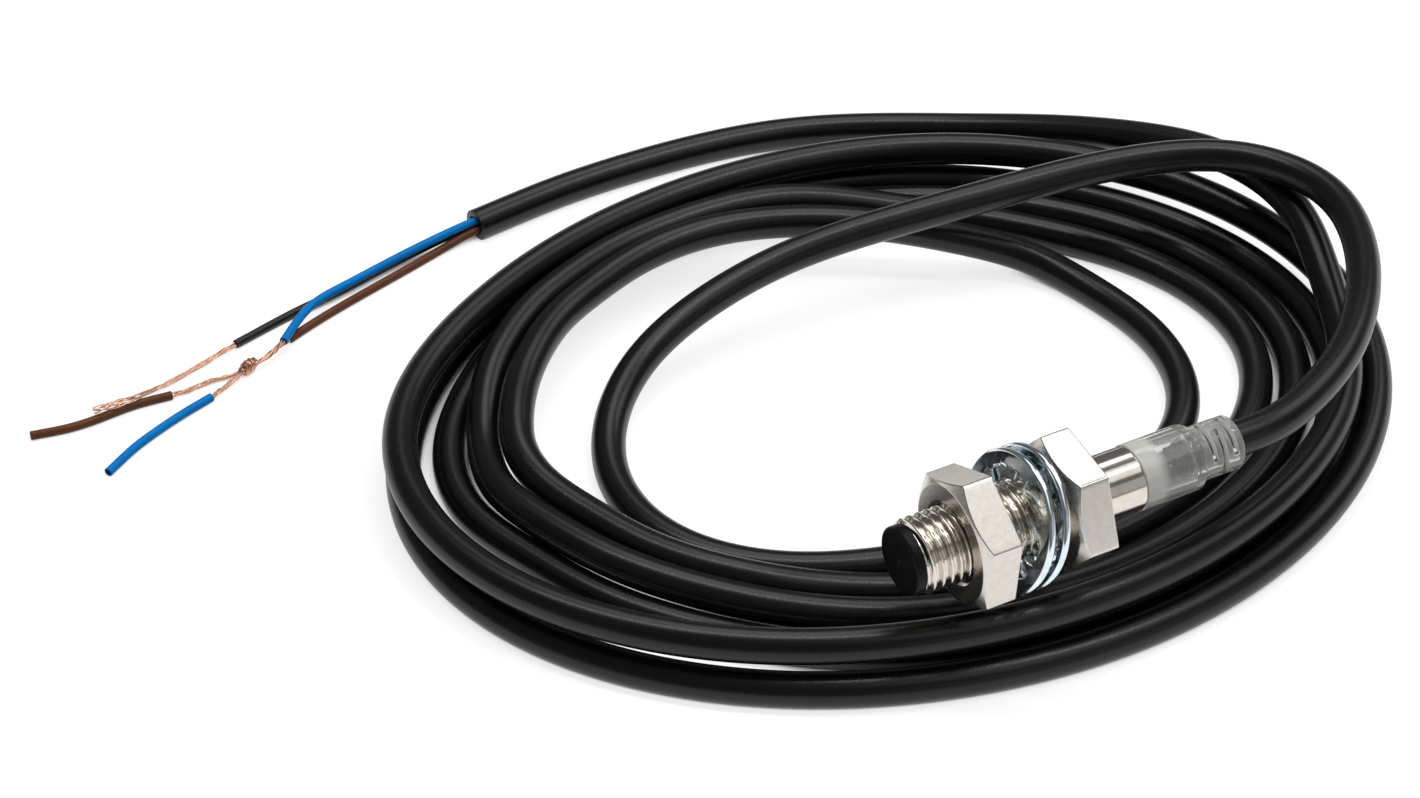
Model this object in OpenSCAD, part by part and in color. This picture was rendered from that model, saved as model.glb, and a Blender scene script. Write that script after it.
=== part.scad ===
// Cylindrical inductive proximity sensor with two nuts, two toothed lock washers and a coiled cable.
// The barrel's axis lies along X: the sensing face is at x = 0 and the cable leaves at the other end.

/* [Barrel] */
// Outside diameter of the thread
thread_d = 8; // [7.6:0.1:9]
// Length of the threaded stretch, end chamfers included
thread_l = 19.6; // [18.5:0.1:26]
// Chamfer at both ends of the thread
thread_chamfer = 0.4; // [0.2:0.05:0.6]
// Diameter of the smooth collar behind the thread
collar_d = 6.9; // [6.6:0.05:7.4]
// Length of the smooth collar
collar_l = 6.2; // [5:0.1:12]
// Bore that holds the sensing head and the board
bore_d = 6; // [5.5:0.05:6.3]
// Radial gap between pieces that are pushed into each other
fit_gap = 0.02; // [0.01:0.01:0.05]

/* [Sensing head] */
// How far the sensing cap stands out of the barrel
cap_stand = 1.1; // [0.8:0.1:3]
// Chamfer round the sensing face
cap_chamfer = 0.18; // [0.05:0.01:0.3]
// Thickness of the sensing face
cap_face_t = 0.6; // [0.3:0.05:0.8]
// Wall of the cap's skirt inside the barrel
cap_wall = 0.38; // [0.25:0.01:0.5]
// Length of the cap's skirt inside the barrel
cap_skirt_l = 3.9; // [2.5:0.1:5]
// Length of the ferrite pot core
ferrite_l = 2.6; // [2.2:0.1:3]
// Diameter of the pot core's centre post
ferrite_post_d = 2; // [1.6:0.1:2.2]
// Thickness of the pot core's outer wall
ferrite_wall = 0.45; // [0.3:0.05:0.55]
// Thickness of the pot core's back
ferrite_back = 0.9; // [0.6:0.05:1.2]
// Wall of the bobbin's hub and flanges
bobbin_wall = 0.2; // [0.15:0.01:0.25]
// How far the winding stays below the bobbin's flange edge
winding_inset = 0.1; // [0.05:0.01:0.2]
// Diameter of the winding's two lead-out wires
winding_wire_d = 0.2; // [0.1:0.02:0.24]

/* [Circuit board] */
// Thickness of the board
board_t = 0.8; // [0.6:0.1:1]
// Least gap between the board's edges and the rear cap's bore
board_play = 0.2; // [0.1:0.05:0.4]
// Gap between the board's end and the cores' insulation
board_setback = 0.3; // [0.2:0.05:0.5]
// Gap between the indicator lamp and the solder joints
led_gap = 0.4; // [0.2:0.05:1]
// Length, width and height of the oscillator chip
chip_size = [3, 3, 0.9]; // [0.5:0.1:3.4]
// Length, width and height of the output transistor's body
transistor_size = [2.9, 1.3, 1]; // [0.5:0.1:3.2]
// Length, width and height of the protection diode
diode_size = [1.7, 1.25, 0.9]; // [0.5:0.05:2]
// Length, width and height of each capacitor
capacitor_size = [1.6, 0.8, 0.8]; // [0.4:0.1:1.8]
// Length, width and height of each resistor
resistor_size = [1, 0.5, 0.35]; // [0.2:0.05:1.2]
// Length, width and height of the indicator lamp
led_size = [0.8, 1.6, 0.6]; // [0.4:0.1:1.8]

/* [Rear cap] */
// Outside diameter of the clear rear cap
rear_d = 7.1; // [7:0.1:9]
// Length of the wide part of the rear cap
rear_l = 7.4; // [7.2:0.1:12]
// Rounding of the rear cap's shoulder
rear_round = 0.6; // [0.2:0.1:0.6]
// Thickness of the rear cap's end wall
rear_end_t = 1.1; // [0.8:0.1:1.2]
// Length of the spigot inside the barrel
spigot_l = 2.5; // [1.5:0.1:4]
// Wall of the spigot
spigot_wall = 0.43; // [0.3:0.01:0.6]
// Length of the potting resin ahead of the spigot
resin_l = 3.4; // [1:0.1:4]
// Depth of the resin that shows inside the rear cap
resin_show = 2; // [0.5:0.1:2.2]
// Outside diameter of the strain relief
relief_d = 5.8; // [5.2:0.1:6.5]
// Length of the strain relief
relief_l = 5; // [4.5:0.1:9]
// Rounding of the strain relief's end
relief_round = 0.4; // [0.1:0.05:0.5]
// Width of a strain relief slot
slot_w = 0.5; // [0.3:0.05:0.7]
// Distance from one slot to the next
slot_pitch = 1.25; // [1.1:0.05:1.4]
// Wall left below a slot
slot_floor = 0.25; // [0.1:0.05:0.4]
// Height of a slot's ends above the axis
slot_rise = 1.7; // [1.4:0.1:1.8]
// Turn of the two outer slots from the top towards the front
slot_turn = 20; // [0:5:60]
// Turn of the middle slot from the top towards the front
middle_slot_turn = 60; // [0:5:90]

/* [Nuts] */
// Width across the flats of both nuts
nut_af = 13; // [12.5:0.1:15]
// Thickness of both nuts
nut_h = 4; // [3:0.1:4.4]
// Diameter of the round face inside a nut's chamfer
nut_face_d = 12.35; // [11:0.05:12.4]
// Angle of the nut's chamfer to its face
nut_chamfer_deg = 30; // [20:1:35]
// Chamfer at both ends of the nut's bore
nut_bore_chamfer = 0.4; // [0.2:0.05:0.6]
// Radial running clearance between nut and thread
nut_clear = 0.05; // [0.02:0.01:0.1]
// How far the rear nut stands past the thread's end
nut_overhang = 0.2; // [0:0.1:1]
// Turn of the front nut's first corner, up from +Y
front_nut_turn = 34; // [0:0.5:60]
// Turn of the rear nut's first corner, up from +Y
rear_nut_turn = 7.5; // [0:0.5:60]

/* [Lock washers] */
// Outside diameter of both lock washers
washer_od = 15; // [14:0.1:16]
// Thickness of the washer's sheet
washer_t = 0.8; // [0.5:0.05:0.9]
// Width of the washer's plain rim
washer_rim = 1.9; // [1.5:0.1:2.2]
// Number of inner teeth
tooth_count = 8; // [6:1:10]
// Width of a tooth where it leaves the rim
tooth_w = 2.2; // [1.6:0.1:2.4]
// Width of a tooth at its tip
tooth_tip_w = 1.5; // [1:0.1:2]
// Twist of each tooth out of the washer's plane
tooth_twist = 18; // [8:1:22]
// Diametral room between tooth tips and thread
washer_play = 0.85; // [0.8:0.05:1.2]
// Lean of the loose washers, top towards the cable
washer_tilt = 15; // [5:0.5:16]
// Gap between a washer's edge and the nut beside it
washer_clear = 0.37; // [0.2:0.01:0.5]
// Distance between the two washers along the barrel
washer_space = 1.7; // [1.6:0.05:2.5]

/* [Cable] */
// Outside diameter of the cable's jacket
cable_d = 3.8; // [3.4:0.1:3.9]
// Gap between neighbouring loops of the coil
loop_gap = 0.65; // [0.65:0.05:0.9]
// Half width of the innermost loop
coil_half_w = 41; // [41:0.1:43]
// Half depth of the innermost loop
coil_half_d = 28; // [28:0.1:30]
// Middle of the coil along the barrel's axis
coil_x = 20; // [19:0.1:20.3]
// Middle of the coil beside the barrel's axis
coil_y = 35.5; // [35:0.1:36.2]
// Turn of the oval coil seen from above
coil_turn = -7; // [-8:0.5:-6]
// Bulge of the lower loops at the coil's back
coil_back = 3.2; // [2.5:0.1:3.5]
// How far the three inner loops draw together at the coil's left end
coil_squeeze = 1; // [0.8:0.05:1.05]
// How far the second loop rides up over its neighbours there
coil_ride = 2.9; // [2.8:0.1:3.1]
// Loops before the coil turns back inward
loops_out = 3.5; // [3.5:0.5:4]
// All loops of the coil
loops_all = 4.45; // [4.4:0.01:4.5]
// Gap between a nut's corner and the coil's top
nut_coil_gap = 0.37; // [0.3:0.01:1]

/* [Wire ends] */
// Outside diameter of an insulated core
core_d = 1; // [0.9:0.05:1.1]
// Least gap between cores where they leave the jacket
core_gap = 0.1; // [0.05:0.01:0.2]
// Diameter of a bunch of bare copper strands
strand_d = 0.6; // [0.5:0.05:0.7]
// Length of core between the inner jacket end and its bare tip
lead_l = 1.1; // [0.8:0.05:1.2]
// Diameter of a core's bare tip at the board
tip_d = 0.5; // [0.3:0.05:0.6]
// Length of a core's bare tip
tip_l = 1.3; // [1:0.05:1.4]
// How far the jacket's inner end stands into the rear cap
jacket_reach = 0.6; // [0.3:0.05:0.8]
// Length and width of a solder joint
solder_w = 0.8; // [0.6:0.05:1]

/* [Hidden] */
$fn = 64;

// Colours of the pieces
nickel = [0.78, 0.75, 0.71];
zinc = [0.66, 0.71, 0.75];
black_plastic = [0.08, 0.08, 0.085];
clear_plastic = [0.82, 0.83, 0.8, 0.45];
copper = [0.8, 0.47, 0.3];
solder_grey = [0.7, 0.7, 0.72];
wire_brown = [0.36, 0.19, 0.12];
wire_blue = [0.0, 0.4, 0.75];

// A length that carries a cut past the face it opens
past = 1;

// Stations along the barrel's axis
barrel_x = cap_stand;
thread_end = barrel_x + thread_l;
barrel_end = thread_end + collar_l;
shoulder_x = barrel_end + rear_l;
total_l = shoulder_x + relief_l;
spigot_x = barrel_end - spigot_l;
resin_end = barrel_end + resin_show;
cavity_end = shoulder_x - rear_end_t;
jacket_x = cavity_end - jacket_reach;
tip_x = jacket_x - lead_l;

// Sensing head
cap_d = thread_d - 2 * thread_chamfer;
skirt_d = bore_d - 2 * fit_gap;
cap_bore_d = skirt_d - 2 * cap_wall;
ferrite_d = cap_bore_d - 2 * fit_gap;
ferrite_x = cap_face_t;
ferrite_end = ferrite_x + ferrite_l;
groove_l = ferrite_l - ferrite_back;
groove_d = ferrite_d - 2 * ferrite_wall;
bobbin_bore_d = ferrite_post_d + 2 * fit_gap;
bobbin_hub_d = bobbin_bore_d + 2 * bobbin_wall;
bobbin_d = groove_d - 2 * fit_gap;
winding_d = bobbin_d - 2 * winding_inset;
winding_end = ferrite_x + groove_l - bobbin_wall;
wire_hole_d = winding_wire_d + 2 * fit_gap;
wire_z = board_t / 2 + wire_hole_d / 2;
wire_y = sqrt(pow((bobbin_hub_d + winding_d) / 4, 2) - wire_z * wire_z);

// Circuit board, cut to slide into the rear cap's bore
spigot_d = bore_d - 2 * fit_gap;
rear_bore_d = spigot_d - 2 * spigot_wall;
board_x = ferrite_end;
board_end = tip_x - board_setback;
resin_x = spigot_x - resin_l;
board_w = 2 * sqrt(pow(rear_bore_d / 2 - board_play, 2) - pow(board_t / 2, 2));

// Places of the parts on the board: distance behind its front edge, and distance beside the axis.
// The output parts stand in a row just ahead of the resin, and the lamp just ahead of the solder joints
wire_pad_l = 0.9;
output_setback = 1.9;
output_step = 3;
resistor_step = 3.7;
capacitor_step = 5.7;
divider_step = 6;
output_l = resin_x - output_setback - board_x;
led_l = tip_x - tip_l - led_gap - led_size[0] / 2 - board_x;
capacitor_places = [[2.6, 0], [output_l - capacitor_step, 1.2]];
chip_place = [(capacitor_places[0][0] + capacitor_places[1][0]) / 2, 0];
resistor_places = [
    [output_l - divider_step, -1.3], [output_l - divider_step, -0.2], [output_l - resistor_step, 1.35]
];
transistor_place = [output_l - output_step, 0];
diode_place = [output_l, 0];
led_place = [led_l, 0];
terminal_l = 0.25;
terminal_rim = 0.03;
leg_size = [0.4, 0.55, 0.15];

// Nuts and washers along the thread, counted forward from the thread's end
nut_corner_r = nut_af / 2 / cos(30);
nut_bore_d = thread_d + 2 * nut_clear;
washer_lean = washer_od / 2 * sin(washer_tilt) + washer_t / 2 * cos(washer_tilt);
rear_nut_x = thread_end + nut_overhang - nut_h;
rear_washer_x = rear_nut_x - washer_clear - washer_lean;
front_washer_x = rear_washer_x - washer_space;
front_nut_x = front_washer_x - washer_lean - washer_clear - nut_h;
tooth_tip_r = (thread_d + washer_play) / 2;
tooth_root_r = washer_od / 2 - washer_rim;
tooth_bury = 0.3;

// Cable coil: the floor is cut a tenth of a diameter into the lowest strands
cable_r = cable_d / 2;
floor_cut = cable_d / 10;
lie_h = cable_r - floor_cut;
loop_pitch = cable_d + loop_gap;
coil_top = lie_h + loop_pitch + cable_r;
floor_z = -(coil_top + nut_coil_gap + nut_corner_r);
coil_start_deg = 180;
squeeze_deg = 205;
climb_loops = 0.5;
turn_back = 0.25;
join_loops = 0.018;
loop_rings = 24;
coil_sides = 6;
free_sides = 8;

// The loops' distance outward, in pitches: even growth, a rounded turn, then even return
function coil_out(u) =
    let (x = abs(u - loops_out))
    loops_out - (x < turn_back ? (x * x / turn_back + turn_back) / 2 : x);
// The share of the climb to the upper layer that is done
function coil_climb(u) =
    let (s = max(0, min(1, (u - loops_out) / climb_loops + 0.5)))
    s * s * (3 - 2 * s);
// How much a loop is drawn towards the second one, by its distance outward: 1, 0, -1, then fading out
function coil_bunch(out) =
    let (s = max(0, min(1, out - 2)))
    out < 2 ? 1 - out : s * s * (3 - 2 * s) - 1;
// A point of the coil's middle line after u loops
function coil_point(u) =
    let (
        a = coil_start_deg + 360 * u,
        out = coil_out(u),
        climb = coil_climb(u),
        left = pow(max(0, cos(a - squeeze_deg)), 2),
        back = pow(max(0, sin(a)), 2),
        wider = loop_pitch * out + coil_squeeze * left * coil_bunch(out),
        px = (coil_half_w + wider) * cos(a),
        py = (coil_half_d + wider) * sin(a) + coil_back * back * (1 - climb),
        ride = coil_ride * left * pow(max(0, 1 - pow(out - 1, 2)), 2) * (1 - climb)
    ) [
        coil_x + px * cos(coil_turn) - py * sin(coil_turn),
        coil_y + px * sin(coil_turn) + py * cos(coil_turn),
        floor_z + lie_h + loop_pitch * climb + ride
    ];
function unit(v) = v / norm(v);
coil_count = ceil(loops_all * loop_rings);
coil_loops = [for (i = [0:coil_count]) coil_point(loops_all * i / coil_count)];
small_step = 0.001;
coil_start = coil_point(-join_loops);
coil_start_dir = unit(coil_point(small_step - join_loops) - coil_start);
coil_end_dir = unit(coil_point(loops_all) - coil_point(loops_all - small_step));
coil_end = coil_loops[coil_count] + cable_d * coil_end_dir;
coil_route = concat([coil_start], coil_loops, [coil_end]);

// Least gap of the coil to itself, between its points and its straight pieces
function point_gap(p, a, b) =
    let (t = max(0, min(1, (p - a) * (b - a) / ((b - a) * (b - a)))))
    norm(p - a - t * (b - a));
coil_gap = min([
    for (i = [0:coil_count], j = [0:coil_count - 1])
        if (abs(i - j) > loop_rings / 2) point_gap(coil_loops[i], coil_loops[j], coil_loops[j + 1])
]) - cable_d;
echo(str("Least gap of the cable coil to itself: ", coil_gap, " mm"));

// Free stretches: x, y and height over the floor
function over_floor(points) = [for (p = points) [p[0], p[1], p[2] + floor_z]];
lead_points = [
    [50, 2, 15.5], [59, 7, 15.4], [67, 14.5, 15.2], [73, 23.5, 15], [75.5, 33.5, 14.6],
    [71, 43.5, 14], [62, 49, 13.2], [52, 52, 12.2], [41, 54, 11.2], [30.5, 56, 10],
    [20, 57.5, 8.4], [9.5, 57, 6.4], [-0.5, 54, 4], [-8, 47.5, 2.2], [-12, 38, lie_h],
    [-11, 28, lie_h], [-4.5, 19.5, lie_h], [5, 14.5, lie_h], [15.5, 12, lie_h],
    [26, 11.5, lie_h], [36.5, 13, lie_h], [46, 17.5, lie_h], [51.5, 24.5, lie_h],
    [53.5, 34, lie_h], [52, 43.5, lie_h], [48.5, 51, 2.4], [42, 56, 4.2], [34, 60.5, 5.8],
    [25, 65, 6.3], [14.5, 67.8, 6.3], [4, 66.4, 6.3], [-5, 62.2, 6.1], [-12.5, 56, 5.3],
    [-17.2, 49.5, 3.2]
];
tail_points = [
    [72.5, 27.5, 7.5], [74.5, 35, 9.6], [74.8, 43, 10.1], [73, 51.5, 9.3], [69, 60, 7.5],
    [63, 69, 5], [55.5, 77, 2.8], [46.5, 83.5, 1.8], [36.5, 88, lie_h], [26, 90, lie_h],
    [15.5, 90.5, lie_h], [5, 90, lie_h], [-5.5, 88.5, lie_h]
];
lead_route = concat(
    [[total_l, 0, 0], [total_l + cable_d, 0, 0]], over_floor(lead_points), [coil_start]
);
tail_route = concat([coil_end], over_floor(tail_points));

// Cores fan out of the jacket's cut end, three round its middle
core_ring_r = (core_d + core_gap) / 2 / sin(60);
core_h = core_d / 2;
strand_h = strand_d / 2;
tail_end = tail_route[len(tail_route) - 1];
tail_dir = unit(tail_end - tail_route[len(tail_route) - 2]);
function core_start(a) =
    tail_end + core_ring_r * (cos(a) * cross(tail_dir, [0, 0, 1]) + sin(a) * [0, 0, 1]);
function last_dir(route) = unit(route[len(route) - 1] - route[len(route) - 2]);
// Heights of the blue core where it crosses the others, and of the strands that lie on a slug
cross_h = core_d + core_h + core_gap;
fan_h = core_d + strand_h + core_gap / 2;
blue_core_route = concat([core_start(90)], over_floor([
    [-13.5, 87.3, 1.8], [-18.6, 86.2, cross_h], [-24.4, 84.6, cross_h], [-28, 83.4, cross_h],
    [-31, 81.3, cross_h], [-34.1, 78.3, cross_h]
]));
brown_core_route = concat([core_start(210)], over_floor([
    [-9.5, 87.4, 0.7], [-14.1, 86.1, core_h], [-23.1, 83.3, core_h], [-31, 80.5, core_h],
    [-32.9, 79.7, core_h]
]));
black_core_route = concat([core_start(330)], over_floor([
    [-13.2, 88.1, 0.7], [-18.4, 87, core_h], [-24.1, 85.4, core_h], [-29, 84.4, core_h],
    [-38.7, 81.7, core_h]
]));
brown_slug_route = over_floor([
    [-48.4, 76.4, core_h], [-52.5, 76.7, core_h], [-57.3, 76.3, core_h], [-60.5, 76.3, core_h],
    [-64.6, 77, core_h]
]);
blue_slug_route = over_floor([
    [-44.6, 74, core_h], [-48.2, 72.8, core_h], [-51.9, 71.3, core_h], [-55, 69.8, core_h],
    [-59.2, 67.1, core_h]
]);
brown_strand_route = concat(
    [brown_core_route[len(brown_core_route) - 1]],
    over_floor([
        [-36.6, 78.1, 0.45], [-38.9, 77.3, 0.4], [-41, 76.8, strand_h], [-43.6, 76.9, strand_h],
        [-46.1, 76.5, 0.4]
    ]),
    [brown_slug_route[0]]
);
blue_strand_route = concat(
    [blue_core_route[len(blue_core_route) - 1]],
    over_floor([[-37.1, 76.6, 1.4], [-39.3, 76, 1.15], [-41.8, 75, 0.8]]),
    [blue_slug_route[0]]
);
black_strand_route = concat(
    [black_core_route[len(black_core_route) - 1]],
    over_floor([
        [-40.8, 81.1, 0.4], [-44.4, 79.9, strand_h], [-47.7, 78.9, strand_h], [-50.4, 77.8, 0.75],
        [-53, 76.9, fan_h], [-55.2, 76.8, fan_h], [-57.3, 76.9, fan_h]
    ])
);

// Places of the three cores where they reach the board: beside and above the axis
lead_y = 0.75;
lead_z = 0.93;

// Turns a shape built along Z so that it lies along X, starting at x
module along_x(x) {
    translate([x, 0, 0]) rotate([0, 90, 0]) children();
}

// Plain round stretch from one station to another
module rod(x0, x1, d) {
    along_x(x0) cylinder(d = d, h = x1 - x0);
}

// Corner points of a quarter round, from the first angle to the second
function round_corner(c, r, a0, a1) =
    let (steps = 6) [for (i = [0:steps]) let (a = a0 + (a1 - a0) * i / steps) c + r * [cos(a), sin(a)]];

// One ring of points square to a direction, with an edge at the bottom, held on or over the floor
function ring(p, dir, r, sides) =
    let (side = unit(cross(dir, [0, 0, 1])), up = cross(side, dir))
    [
        for (k = [0:sides - 1])
            let (a = 270 + 180 / sides + 360 * k / sides, q = p + r * (cos(a) * side + sin(a) * up))
            [q[0], q[1], max(q[2], floor_z)]
    ];

// Round cord swept along a route, with a ring at each point and flat ends
module cord(route, d, sides, first, last) {
    n = len(route);
    steps = [for (i = [0:n - 2]) unit(route[i + 1] - route[i])];
    dirs = [for (i = [0:n - 1]) i == 0 ? first : i == n - 1 ? last : unit(steps[i - 1] + steps[i])];
    points = [for (i = [0:n - 1]) each ring(route[i], dirs[i], d / 2, sides)];
    end = (n - 1) * sides;
    walls = [
        for (i = [0:n - 2], k = [0:sides - 1])
            let (a = i * sides + k, b = i * sides + (k + 1) % sides)
            each [[a, b, a + sides], [b, b + sides, a + sides]]
    ];
    caps = [for (k = [1:sides - 2]) each [[0, k + 1, k], [end, end + k, end + k + 1]]];
    polyhedron(points, concat(walls, caps), convexity = 10);
}

module barrel() {
    thread_r = thread_d / 2;
    collar_r = collar_d / 2;
    runout = thread_r - collar_r;
    color(nickel) along_x(barrel_x) rotate_extrude() polygon([
        [bore_d / 2, 0], [thread_r - thread_chamfer, 0], [thread_r, thread_chamfer],
        [thread_r, thread_l - runout], [collar_r, thread_l], [collar_r, thread_l + collar_l],
        [bore_d / 2, thread_l + collar_l]
    ]);
}

module sensing_cap() {
    color(black_plastic) along_x(0) rotate_extrude() polygon([
        [0, 0], [cap_d / 2 - cap_chamfer, 0], [cap_d / 2, cap_chamfer], [cap_d / 2, cap_stand],
        [skirt_d / 2, cap_stand], [skirt_d / 2, cap_stand + cap_skirt_l],
        [cap_bore_d / 2, cap_stand + cap_skirt_l], [cap_bore_d / 2, cap_face_t], [0, cap_face_t]
    ]);
}

// The winding's two lead-out wires, or the holes they pass through
module winding_wires(x0, x1, d) {
    for (s = [-1, 1]) translate([0, s * wire_y, wire_z]) rod(x0, x1, d);
}

module ferrite_core() {
    color([0.2, 0.2, 0.22]) difference() {
        rod(ferrite_x, ferrite_end, ferrite_d);
        difference() {
            rod(ferrite_x - past, ferrite_x + groove_l, groove_d);
            rod(ferrite_x - 2 * past, ferrite_x + groove_l + past, ferrite_post_d);
        }
        winding_wires(ferrite_x, ferrite_end + past, wire_hole_d);
    }
}

module coil_bobbin() {
    color([0.9, 0.88, 0.8]) difference() {
        rod(ferrite_x, ferrite_x + groove_l, bobbin_d);
        rod(ferrite_x - past, ferrite_x + groove_l + past, bobbin_bore_d);
        difference() {
            rod(ferrite_x + bobbin_wall, winding_end, bobbin_d + past);
            rod(ferrite_x, ferrite_x + groove_l, bobbin_hub_d);
        }
        winding_wires(winding_end - past, ferrite_x + groove_l + past, wire_hole_d);
    }
}

module sensing_winding() {
    color(copper) difference() {
        rod(ferrite_x + bobbin_wall, winding_end, winding_d);
        rod(ferrite_x, winding_end + past, bobbin_hub_d + 2 * fit_gap);
    }
}

module winding_leads() {
    color(copper) winding_wires(winding_end, board_x + wire_pad_l, winding_wire_d);
}

// Block standing on the board's upper side, centred on its place
module on_board(place, size) {
    translate([board_x + place[0] - size[0] / 2, place[1] - size[1] / 2, board_t / 2]) cube(size);
}

// Chip part with a plated terminal round each end
module chip_part(place, size) {
    rim = [0, 2 * terminal_rim, terminal_rim];
    on_board(place, size);
    for (s = [-1, 1])
        on_board(place + [s * (size[0] - terminal_l) / 2, 0], [terminal_l, size[1], size[2]] + rim);
}

module circuit_board() {
    color([0.1, 0.36, 0.2]) translate([board_x, -board_w / 2, -board_t / 2])
        cube([board_end - board_x, board_w, board_t]);
}

module sensor_chip() {
    color([0.12, 0.12, 0.13]) on_board(chip_place, chip_size);
}

module output_transistor() {
    leg_y = transistor_size[1] / 2 + leg_size[1] / 2;
    leg_x = transistor_size[0] / 3;
    color([0.12, 0.12, 0.13]) {
        on_board(transistor_place, transistor_size);
        for (x = [-leg_x, leg_x]) on_board(transistor_place + [x, -leg_y], leg_size);
        on_board(transistor_place + [0, leg_y], leg_size);
    }
}

module protection_diode() {
    color([0.15, 0.15, 0.16]) chip_part(diode_place, diode_size);
}

module chip_capacitors() {
    color([0.72, 0.6, 0.45]) for (p = capacitor_places) chip_part(p, capacitor_size);
}

module chip_resistors() {
    color([0.2, 0.2, 0.2]) for (p = resistor_places) chip_part(p, resistor_size);
}

module indicator_led() {
    color([0.95, 0.75, 0.3]) on_board(led_place, led_size);
}

module potting_resin() {
    color([0.88, 0.86, 0.74]) difference() {
        union() {
            rod(resin_x, spigot_x, bore_d - 2 * fit_gap);
            rod(resin_x, resin_end, rear_bore_d - 2 * fit_gap);
        }
        translate([0, -board_w / 2 - fit_gap, -board_t / 2 - fit_gap])
            cube([total_l, board_w + 2 * fit_gap, board_t + 2 * fit_gap]);
        // Room for the lamp, where a short rear cap brings it into the resin
        on_board(led_place, led_size + fit_gap * [2, 2, 1]);
    }
}

// One crescent slot in the strain relief's wall, open on the side that faces up
module relief_slot(x) {
    difference() {
        translate([x - slot_w / 2, -relief_d, slot_rise]) cube([slot_w, 2 * relief_d, relief_d]);
        rod(x - slot_w, x + slot_w, cable_d + 2 * slot_floor);
    }
}

module rear_cap() {
    bore_r = cable_r + fit_gap;
    slot_x = total_l - relief_l / 2;
    cap_l = rear_l + relief_l;
    color(clear_plastic) difference() {
        union() {
            along_x(barrel_end) rotate_extrude() polygon(concat(
                [[bore_r, 0], [rear_d / 2, 0]],
                round_corner([rear_d / 2 - rear_round, rear_l - rear_round], rear_round, 0, 90),
                [[relief_d / 2, rear_l]],
                round_corner([relief_d / 2 - relief_round, cap_l - relief_round], relief_round, 0, 90),
                [[bore_r, cap_l]]
            ));
            rod(spigot_x, cavity_end, spigot_d);
        }
        rod(spigot_x - past, cavity_end, rear_bore_d);
        rod(barrel_end, total_l + past, 2 * bore_r);
        for (s = [-1, 0, 1], half_turn = [0, 180])
            rotate([half_turn + (s == 0 ? middle_slot_turn : slot_turn), 0, 0])
                relief_slot(slot_x + s * slot_pitch);
    }
}

module cable_end() {
    color(black_plastic) rod(jacket_x, total_l, cable_d);
}

// Core from the jacket's inner end, with its bare tip over the board
module board_lead(y, z) {
    translate([0, y, z]) {
        rod(tip_x, jacket_x, core_d);
        rod(tip_x - tip_l, tip_x, tip_d);
    }
}

module brown_lead() {
    color(wire_brown) board_lead(-lead_y, lead_z);
}

module blue_lead() {
    color(wire_blue) board_lead(lead_y, lead_z);
}

module black_lead() {
    color(black_plastic) board_lead(0, -lead_z);
}

// Solder cradle between the board and the lower half of a bare tip
module solder_joint(y) {
    difference() {
        translate([tip_x - tip_l, y - solder_w / 2, board_t / 2])
            cube([solder_w, solder_w, lead_z - board_t / 2]);
        translate([0, y, lead_z]) rod(tip_x - tip_l - past, tip_x + past, tip_d);
    }
}

module solder_joints() {
    color(solder_grey) {
        solder_joint(-lead_y);
        solder_joint(lead_y);
        rotate([180, 0, 0]) solder_joint(0);
    }
}

// Hexagon nut with a chamfered front face, its first corner turned up from +Y
module hex_nut(x, turn) {
    blank_r = nut_corner_r + past;
    chamfer_rise = (blank_r - nut_face_d / 2) * tan(nut_chamfer_deg);
    bore_r = nut_bore_d / 2;
    mouth_r = bore_r + nut_bore_chamfer + past;
    along_x(x) difference() {
        intersection() {
            translate([0, 0, -past]) rotate([0, 0, 90 + turn])
                cylinder(r = nut_corner_r, h = nut_h + past, $fn = 6);
            rotate_extrude() polygon([
                [0, 0], [nut_face_d / 2, 0], [blank_r, chamfer_rise],
                [blank_r, nut_h + past], [0, nut_h + past]
            ]);
        }
        rotate_extrude() polygon([
            [0, -past], [mouth_r, -past], [bore_r, nut_bore_chamfer],
            [bore_r, nut_h - nut_bore_chamfer], [mouth_r, nut_h + past], [0, nut_h + past]
        ]);
    }
}

module front_nut() {
    color(nickel) hex_nut(front_nut_x, front_nut_turn);
}

module rear_nut() {
    color(nickel) hex_nut(rear_nut_x, rear_nut_turn);
}

// Lock washer with twisted inner teeth, leaning back round its own middle
module lock_washer(x) {
    rim_r = tooth_root_r + tooth_bury;
    translate([x, 0, 0]) rotate([0, 90 + washer_tilt, 0]) {
        difference() {
            cylinder(d = washer_od, h = washer_t, center = true);
            cylinder(r = tooth_root_r, h = washer_t + past, center = true);
        }
        for (k = [0:tooth_count - 1])
            rotate([tooth_twist, 0, 360 * (k + 0.5) / tooth_count])
                linear_extrude(washer_t, center = true) polygon([
                    [tooth_tip_r, -tooth_tip_w / 2], [rim_r, -tooth_w / 2],
                    [rim_r, tooth_w / 2], [tooth_tip_r, tooth_tip_w / 2]
                ]);
    }
}

module front_washer() {
    color(zinc) lock_washer(front_washer_x);
}

module rear_washer() {
    color(zinc) lock_washer(rear_washer_x);
}

module cable_lead() {
    color(black_plastic) cord(lead_route, cable_d, free_sides, [1, 0, 0], coil_start_dir);
}

module cable_coil() {
    color(black_plastic) cord(coil_route, cable_d, coil_sides, coil_start_dir, coil_end_dir);
}

module cable_tail() {
    color(black_plastic) cord(tail_route, cable_d, free_sides, coil_end_dir, tail_dir);
}

module brown_core() {
    color(wire_brown) cord(brown_core_route, core_d, free_sides, tail_dir, last_dir(brown_core_route));
}

module blue_core() {
    color(wire_blue) cord(blue_core_route, core_d, free_sides, tail_dir, last_dir(blue_core_route));
}

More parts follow.
